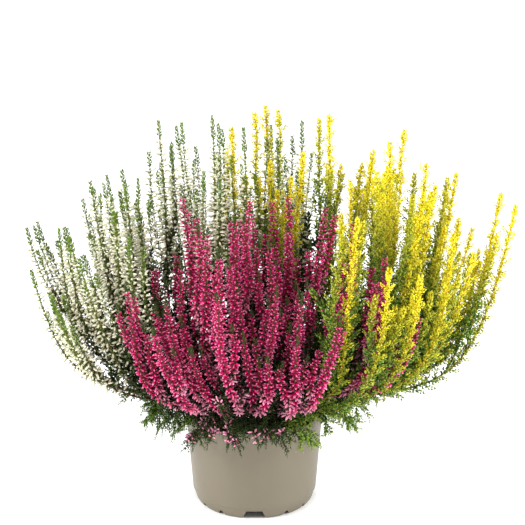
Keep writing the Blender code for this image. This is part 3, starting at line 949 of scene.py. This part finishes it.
LOW_SPRIGS = Leafing(pitch=0.0038, lean=0.95, sizes=(1.1, 0.8))
FINE_LEAVES = Leafing(pitch=0.0026, lean=0.9, sizes=(0.8, 0.7))
HANGING_SPRIGS = Leafing(pitch=0.0038, lean=0.8, sizes=(1.15, 0.75))
HANGING_LEAVES = Leafing(pitch=0.0022, lean=0.8, sizes=(1.2, 1.0))
INNER_LEAVES = Leafing(pitch=0.0026, lean=1.0, sizes=(1.0, 0.8))
INNER_BARE = 0.002
# the inner twigs take only their oldest, darkest leaf colours: partly old leaves, partly painted shade
# deep in the bush
INNER_OLD_AND_SHADED_AGES = (0.0, 0.22)
LOW_BLOOM_PART = (0.45, 0.95)  # shares of a twig's length
LOW_BLOOM_AGES = (0.0, 0.06)
LEAFY_OVERLAP = 0.012
TIP_LENGTHS = (0.6, 1.2)  # shares of the plant's own
TIP_OVERLAP = 0.002
COMPANIONS = 2
COMPANION_STARTS = (0.30, 0.48)
COMPANION_FAN = 1.7
COMPANION_TURNS = (-0.5, 0.5)
COMPANION_DISTANCES = (0.009, 0.013)
SKIRT_FROM = 0.58  # the share of the bush's reach from which the stems hang twigs over the rim
RIM_TWIGS = Twigs(9, starts=(0.028, 0.100), lengths=(0.018, 0.036), rises=(-0.8, -0.2))
BASAL_TWIGS = Twigs(7, starts=(0.1, 0.75), lengths=(0.018, 0.030), rises=(-0.75, -0.2))  # starts in shares
HANGING_TURNS = (-0.7, 0.7)
HANGING_LEANS = (0.7, 1.4)
SHORTER_OUTSIDE = 0.5  # how much shorter the outermost hanging twigs are
INNER_TWIGS = Twigs(14, starts=(0.12, 0.62), lengths=(0.028, 0.046), rises=(0.0, 0.3))  # here too
INNER_TWIG_TURNS = (-1.5, 1.5)
INNER_TWIG_LEANS = (0.6, 1.1)
SEED_STEP = 1000  # from one spray of a plant to the next


def aged(parts, oldest, youngest):
    """Narrow the ages of some parts to a range."""
    for part in parts:
        part.age = between((oldest, youngest), np.clip(part.age, 0, 1))
    return parts


def grow_leafy(shoot, habit, rng):
    """A hanging sprig or twig: leafy sprigs all along, leaves between them and, on some, old buds."""
    bare = STEMS[shoot.kind].bare
    parts = [make_stem(shoot, 4, LEAF)]
    parts += sprigs_along(shoot, green_sprigs, bare, shoot.length, HANGING_SPRIGS, rng)
    parts.append(leaves_along(shoot, habit.leaf, bare, shoot.length, HANGING_LEAVES, rng))
    aged(parts, *habit.twig_ages)
    if rng.random() < habit.low_blooms:
        start, end = (share * shoot.length for share in LOW_BLOOM_PART)
        parts += aged(habit.bloom(shoot, start, end, rng), *LOW_BLOOM_AGES)
    return parts


def grow_inner(shoot, rng):
    """A twig deep in the bush, with a few larger and darker leaves: their dark colour is partly old leaves
    and partly painted shade.
    """
    leaves = leaves_along(shoot, inner_leaf, INNER_BARE, shoot.length, INNER_LEAVES, rng)
    return aged([make_stem(shoot, 3, LEAF), leaves], *INNER_OLD_AND_SHADED_AGES)


def grow_blooming(shoot, habit, rng):
    """A flowering shoot: leafy low down, then its blooms and a leafy tip."""
    bare = STEMS[shoot.kind].bare
    bloom_from = habit.bloom_from[shoot.kind] * shoot.length
    bloom_to = max(bloom_from, shoot.length - habit.tip_length * rng.uniform(*TIP_LENGTHS))
    leafy_to = bloom_from + LEAFY_OVERLAP
    tip_from = bloom_to - TIP_OVERLAP
    parts = [make_stem(shoot, 4)]
    if shoot.kind == "fine":
        parts.append(leaves_along(shoot, inner_leaf, bare, leafy_to, FINE_LEAVES, rng))
    else:
        parts += sprigs_along(shoot, green_sprigs, bare, leafy_to, LOW_SPRIGS, rng)
    parts += habit.bloom(shoot, bloom_from, bloom_to, rng)
    parts.append(leaves_along(shoot, habit.leaf, bloom_from, bloom_to, habit.leafing, rng))
    parts.append(leaves_along(shoot, habit.tip_leaf, tip_from, shoot.length, habit.tip_leafing, rng))
    return parts


def grow_companions(shoot, habit, rng):
    """Thinner shoots above or behind a shoot, so that the bush keeps its outline."""
    parts = []
    for k in range(COMPANIONS):
        start = rng.uniform(*COMPANION_STARTS) * shoot.length
        end = rng.uniform(*habit.companion_ends) * shoot.length
        fan = COMPANION_FAN * (k - (COMPANIONS - 1) / 2)
        around = math.pi / 2 + fan + rng.uniform(*COMPANION_TURNS)
        fine = companion(shoot, start, end, around, rng.uniform(*COMPANION_DISTANCES), rng.random())
        parts += aged(grow_blooming(fine, habit, rng), 0.0, rng.uniform(*habit.companion_ages))
    return parts


def grow_hanging(shoot, habit, twigs, rng):
    """Twigs that hang from a part of a shoot, to both sides of it."""
    parts = []
    for k in range(twigs.count):
        around = math.pi * k + rng.uniform(*HANGING_TURNS)
        start = rng.uniform(*twigs.starts)
        out = (start - twigs.starts[0]) / (twigs.starts[1] - twigs.starts[0])
        length = rng.uniform(*twigs.lengths) * (1 - SHORTER_OUTSIDE * out)
        lean = rng.uniform(*HANGING_LEANS)
        twig = branchlet(shoot, length, start, lean, around, rng.uniform(*twigs.rises))
        parts += grow_leafy(twig, habit, rng)
    return parts


def grow_basal(shoot, habit, rng):
    """A sprig that hangs beside the pot, with twigs of its own."""
    starts = [share * shoot.length for share in BASAL_TWIGS.starts]
    twigs = BASAL_TWIGS._replace(starts=starts)
    return grow_leafy(shoot, habit, rng) + grow_hanging(shoot, habit, twigs, rng)


def grow_twigs(main, habit, rng):
    """Leafy twigs out of the low part of a main stem: some hang over the rim, some fill the bush."""
    tip = main.curve[-1]
    outside = math.hypot(tip[0] / SPREAD_X, tip[1] / SPREAD_Y) > SKIRT_FROM
    parts = grow_hanging(main, habit, RIM_TWIGS if outside else RIM_TWIGS._replace(count=1), rng)
    for k in range(INNER_TWIGS.count):
        around = math.pi / 2 + rng.uniform(*INNER_TWIG_TURNS)
        share = (k + rng.random()) / INNER_TWIGS.count
        start = between(INNER_TWIGS.starts, share) * main.length
        length = rng.uniform(*INNER_TWIGS.lengths)
        lean = rng.uniform(*INNER_TWIG_LEANS)
        twig = branchlet(main, length, start, lean, around, rng.uniform(*INNER_TWIGS.rises))
        parts += grow_inner(twig, rng)
    return parts


def grow_spray(spray, habit, seed):
    """All of one spray: its shoots, the thinner ones beside them and its twigs."""
    rng = np.random.default_rng(seed)
    parts = []
    for shoot in spray:
        if shoot.kind == "basal":
            parts += grow_basal(shoot, habit, rng)
        else:
            parts += grow_blooming(shoot, habit, rng)
            parts += grow_companions(shoot, habit, rng)
    parts += grow_twigs(spray[0], habit, rng)
    return joined(parts)


def add_sprays(plant, habit):
    """Make every spray of one plant, in place of its node of the solid model."""
    own = [spray for spray in sprays if spray[0].plant == plant]
    for i, spray in enumerate(own, start=1):
        name = f"{plant}_spray_{i:02d}"
        mesh = mesh_from(grow_spray(spray, habit, SEED + SEED_STEP * i), name)
        mesh.transform(Matrix.Translation(POT_PLACE))
        piece = add_piece(name, mesh, habit.stem_skin, habit.leaf_skin, habit.bud_skin)
        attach(piece, "root")
        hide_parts(f"heather_{plant}_{i:02d}")


sprays = lay_out()
small_leaf = make_leaf(length=0.0029, width=0.0015, keel=0.0006)
tip_leaf = make_leaf(length=0.0038, width=0.0021, keel=0.0010)
inner_leaf = make_leaf(length=0.0074, width=0.0034, keel=0.0011)
green_leafing = Leafing(pitch=0.0019, lean=0.75, sizes=(1.0, 0.65))
green_sprigs = make_sprigs(length=0.0105, curl=0.22, leaf=small_leaf, leafing=green_leafing, seed=5)
white_bud = make_bud(length=0.0052, radius=0.00105, stalk=0.0018, bract=small_leaf)
white_budding = Budding(pitch=0.0052, ring=4, sizes=(1.02, 0.85), leans=(1.9, 0.9))


def white_blooms(shoot, start, end, rng):
    """Rings of creamy buds along part of a shoot."""
    return [buds_along(shoot, white_bud, start, end, white_budding, rng)]


white = Habit(
    leaf=small_leaf,
    leafing=Leafing(pitch=0.0028, lean=0.65, sizes=(0.9, 1.1)),
    tip_leaf=tip_leaf,
    tip_leafing=Leafing(pitch=0.0014, lean=0.80, sizes=(1.0, 0.8)),
    tip_length=0.017,
    bloom=white_blooms,
    bloom_from={"main": 0.50, "side": 0.32, "fine": 0.28},
    low_blooms=0.0,
    twig_ages=(0.30, 0.75),
    companion_ends=(0.80, 1.0),
    companion_ages=(0.80, 1.0),
    stem_skin=grown_material(
        "white_stem", 0.7, old=(92, 76, 44), young=(136, 122, 62), end=(130, 144, 66),
        turn_from=0.5, turn_to=0.9, end_share=0.2, chance=0.2,
    ),
    leaf_skin=grown_material(
        "white_leaf", 0.55, old=(40, 54, 24), young=(100, 134, 42), end=(136, 164, 72),
        turn_from=0.2, turn_to=1.0, end_share=0.4, chance=0.35,
    ),
    bud_skin=grown_material(
        "white_bud", 0.5, old=(214, 204, 170), young=(226, 224, 186), end=(248, 244, 226),
        turn_from=0.0, turn_to=0.6, end_from=0.2, end_share=0.8, chance=0.12,
    ),
)
add_sprays("white", white)

# The pink heather
# A shorter plant with red-brown stems, green towards their tips. Its closed buds are magenta, paler
# towards their ends, partly their own colour and partly a painted highlight. The oldest ones low down
# have faded. Its leafy tips are dark and olive green.
pink_bud = make_bud(length=0.0050, radius=0.00105, stalk=0.0006, bract=small_leaf)
pink_budding = Budding(pitch=0.0036, ring=5, sizes=(1.0, 0.65), leans=(1.9, 0.9))


def pink_blooms(shoot, start, end, rng):
    """Rings of magenta buds along part of a shoot."""
    return [buds_along(shoot, pink_bud, start, end, pink_budding, rng)]


pink = Habit(
    leaf=small_leaf,
    leafing=Leafing(pitch=0.0060, lean=0.65, sizes=(0.9, 0.8)),
    tip_leaf=tip_leaf,
    tip_leafing=Leafing(pitch=0.0014, lean=0.75, sizes=(0.85, 0.6)),
    tip_length=0.008,
    bloom=pink_blooms,
    bloom_from={"main": 0.30, "side": 0.14, "fine": 0.14},
    low_blooms=0.25,
    twig_ages=(0.40, 1.0),
    companion_ends=(0.78, 1.0),
    companion_ages=(0.90, 1.0),
    stem_skin=grown_material(
        "pink_stem", 0.7, old=(112, 54, 44), young=(84, 84, 44), end=(90, 96, 50),
        turn_from=0.5, turn_to=0.85, end_share=0.2, chance=0.2,
    ),
    leaf_skin=grown_material(
        "pink_leaf", 0.55, old=(38, 46, 22), young=(62, 80, 36), end=(80, 100, 48),
        turn_from=0.3, turn_to=1.0, end_share=0.3, chance=0.3,
    ),
    # the paler end of each bud (end, end_from, end_share) is partly the buds' own colour and partly a
    # painted highlight
    bud_skin=grown_material(
        "pink_bud", 0.45, old=(236, 156, 180), young=(194, 12, 92), end=(246, 168, 204),
        turn_from=0.0, turn_to=0.26, end_from=0.6, end_share=0.9, chance=0.45,
    ),
)
add_sprays("pink", pink)

# The yellow heather
# Grown for its leaves: it bears no flowers. Short sprigs of plump scale leaves stand close along
# its orange stems, golden where the light reaches them and green low down and inside.
gold_leaf = make_leaf(length=0.0031, width=0.0020, keel=0.0010)
gold_leafing = Leafing(pitch=0.0018, lean=0.70, sizes=(1.0, 0.65))
gold_sprigs = make_sprigs(length=0.0090, curl=0.20, leaf=gold_leaf, leafing=gold_leafing, seed=9)
gold_sprig_leafing = Leafing(pitch=0.0031, lean=0.88, sizes=(1.30, 0.90))
gold_skin = {
    "old": (80, 128, 44), "young": (254, 238, 40), "end": (255, 246, 104),
    "turn_from": 0.22, "turn_to": 0.80, "end_share": 0.35, "chance": 0.22,
}


def gold_sprays(shoot, start, end, rng):
    """Golden sprigs along part of a shoot, where the other plants have buds."""
    return sprigs_along(shoot, gold_sprigs, start, end, gold_sprig_leafing, rng)


yellow = Habit(
    leaf=gold_leaf,
    leafing=Leafing(pitch=0.0026, lean=0.65, sizes=(1.0, 1.2)),
    tip_leaf=gold_leaf,
    tip_leafing=Leafing(pitch=0.0013, lean=0.75, sizes=(1.4, 1.2)),
    tip_length=0.010,
    bloom=gold_sprays,
    bloom_from={"main": 0.36, "side": 0.12, "fine": 0.12},
    low_blooms=0.0,
    twig_ages=(0.0, 0.28),
    companion_ends=(0.78, 1.0),
    companion_ages=(0.45, 1.0),
    stem_skin=grown_material(
        "yellow_stem", 0.7, old=(120, 100, 44), young=(216, 160, 36), end=(226, 196, 44),
        turn_from=0.1, turn_to=0.7, end_share=0.3, chance=0.2,
    ),
    leaf_skin=grown_material("yellow_leaf", 0.5, **gold_skin),
    bud_skin=grown_material("yellow_bud", 0.5, **gold_skin),
)
add_sprays("yellow", yellow)

# Floor, light and camera
# A plain white studio floor, a white surround and two soft lamps. The camera stands in front of
# the pot and looks a little down on it.
MM_PER_PIXEL = 0.87
FRAME_PIXELS = 525
SENSOR = 36.0
ELEVATION = math.radians(20)
DISTANCE = 2.0
TARGET_HEIGHT = 0.2141
TARGET_RIGHT = 8.0  # pixels from the pot's axis to the middle of the frame
FLOOR_RADIUS = 12.0
GLOW_FROM = 0.045
GLOW_TO = 0.060
FLOOR_GLOW = 0.6
SURROUND_STRENGTH = 0.60
LAMP_SIZE = 0.9
LEFT_LAMP = ((-2.0, -0.8, 1.5), 60.0)  # place, watts
RIGHT_LAMP = ((2.0, -0.7, 1.3), 45.0)


def make_floor():
    """White card, lit from below except under the pot."""
    shape = bmesh.new()
    bmesh.ops.create_circle(shape, cap_ends=True, radius=FLOOR_RADIUS, segments=64)
    material, tree, shader = start_material("studio_floor", 0.9)
    where = add_node(tree, "TexCoord").outputs["Object"]
    from_pot = add_node(tree, "VectorMath", {0: where, 1: POT_PLACE}, operation="DISTANCE")
    glow = ranged(tree, from_pot.outputs["Value"], GLOW_FROM, GLOW_TO)
    shader.inputs["Base Color"].default_value = (0.9, 0.9, 0.9, 1)
    tree.links.new(glow, shader.inputs["Emission Color"])
    shader.inputs["Emission Strength"].default_value = FLOOR_GLOW
    shader.inputs["Specular IOR Level"].default_value = 0.1
    return add_piece("floor", mesh_of(shape, "floor"), material)


def add_lamp(name, place, power, aim):
    """A round soft lamp that faces the bush."""
    light = bpy.data.lights.new(name, "AREA")
    light.shape = "DISK"
    light.size = LAMP_SIZE
    light.energy = power
    lamp = bpy.data.objects.new(name, light)
    lamp.location = place
    lamp.rotation_euler = (Vector(place) - aim).to_track_quat("Z", "Y").to_euler()
    bpy.context.scene.collection.objects.link(lamp)


def make_world():
    """White light from all around."""
    world = bpy.data.worlds.new("surround")
    world.use_nodes = True
    world.node_tree.nodes["Background"].inputs["Color"].default_value = (1, 1, 1, 1)
    world.node_tree.nodes["Background"].inputs["Strength"].default_value = SURROUND_STRENGTH
    bpy.context.scene.world = world


def add_camera(aim):
    """A long lens, so that one pixel of the frame spans MM_PER_PIXEL at the middle of the pot's foot."""
    lens = bpy.data.cameras.new("camera")
    lens.sensor_width = SENSOR
    to_foot = DISTANCE + TARGET_HEIGHT * math.sin(ELEVATION)
    lens.lens = SENSOR * to_foot / (FRAME_PIXELS * MM_PER_PIXEL / 1000)
    camera = bpy.data.objects.new("camera", lens)
    back = Vector((0, -math.cos(ELEVATION), math.sin(ELEVATION)))
    camera.location = aim + DISTANCE * back
    camera.rotation_euler = back.to_track_quat("Z", "Y").to_euler()
    bpy.context.scene.collection.objects.link(camera)
    bpy.context.scene.camera = camera


make_floor()
aim = POT_PLACE + Vector((TARGET_RIGHT * MM_PER_PIXEL / 1000, 0, TARGET_HEIGHT))
make_world()
add_lamp("left_lamp", *LEFT_LAMP, aim)
add_lamp("right_lamp", *RIGHT_LAMP, aim)
add_camera(aim)
bpy.context.scene.view_settings.view_transform = "Standard"
